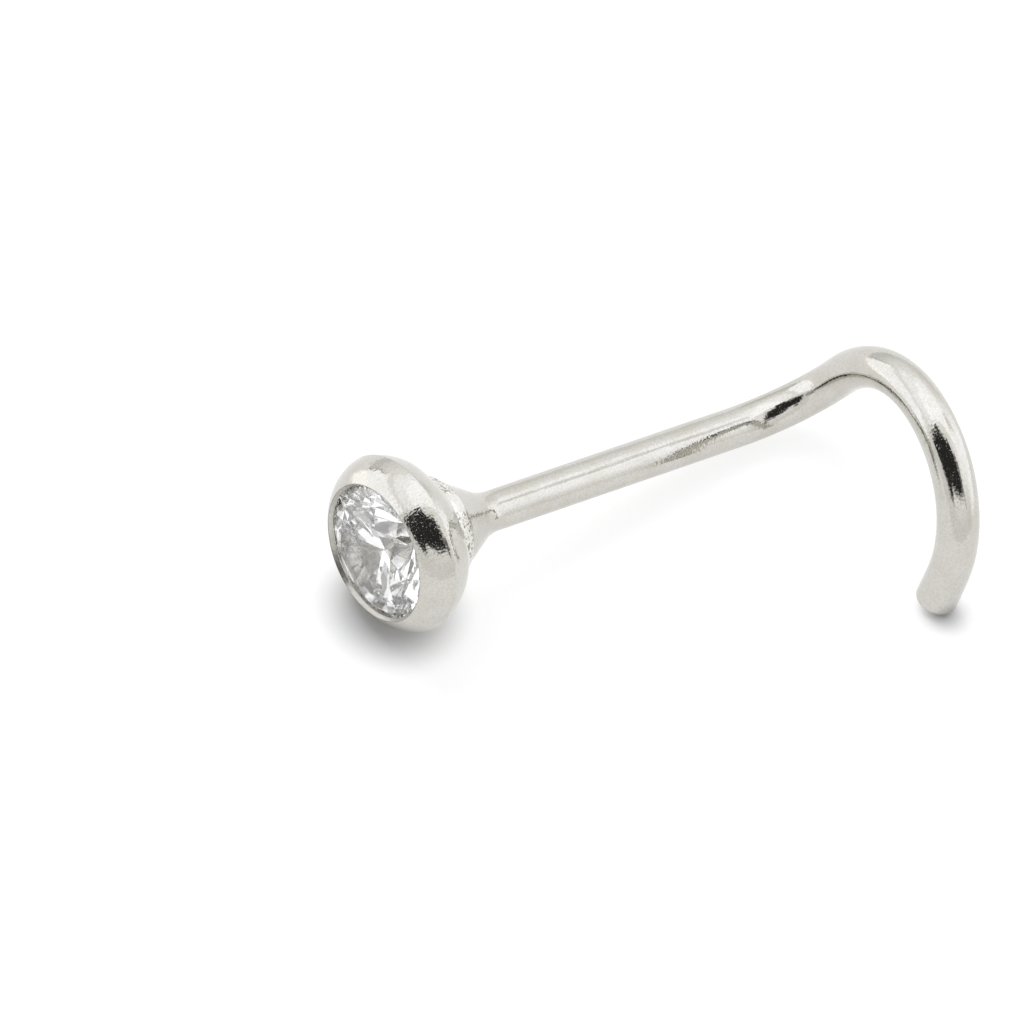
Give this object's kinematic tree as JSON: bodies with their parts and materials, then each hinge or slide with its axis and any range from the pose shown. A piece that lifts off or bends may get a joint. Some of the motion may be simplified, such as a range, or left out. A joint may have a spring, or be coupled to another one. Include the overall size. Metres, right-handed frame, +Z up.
{
  "type": "nose stud",
  "caption": "Nose stud of the screw kind: a round clear stone in a rounded bezel, on a straight wire post that bends into a hook to hold it in the nostril.",
  "frame": {"origin": "on the surface that the stud rests on, under the middle of its box", "axes": "+X along the post seen from above, from the bezel to the hook; +Z up; the hook's tip is on the -Y side; the stone faces -X"},
  "size_m": [0.0093, 0.0058, 0.0029],
  "materials": {
    "silver": "polished sterling silver, slightly warm, with fine drawing and polishing marks",
    "stone": "clear colourless cubic zirconia, facets polished flat"
  },
  "bodies": {
    "root": {"nose_screw": "silver", "stone": "stone"}
  },
  "joints": []
}
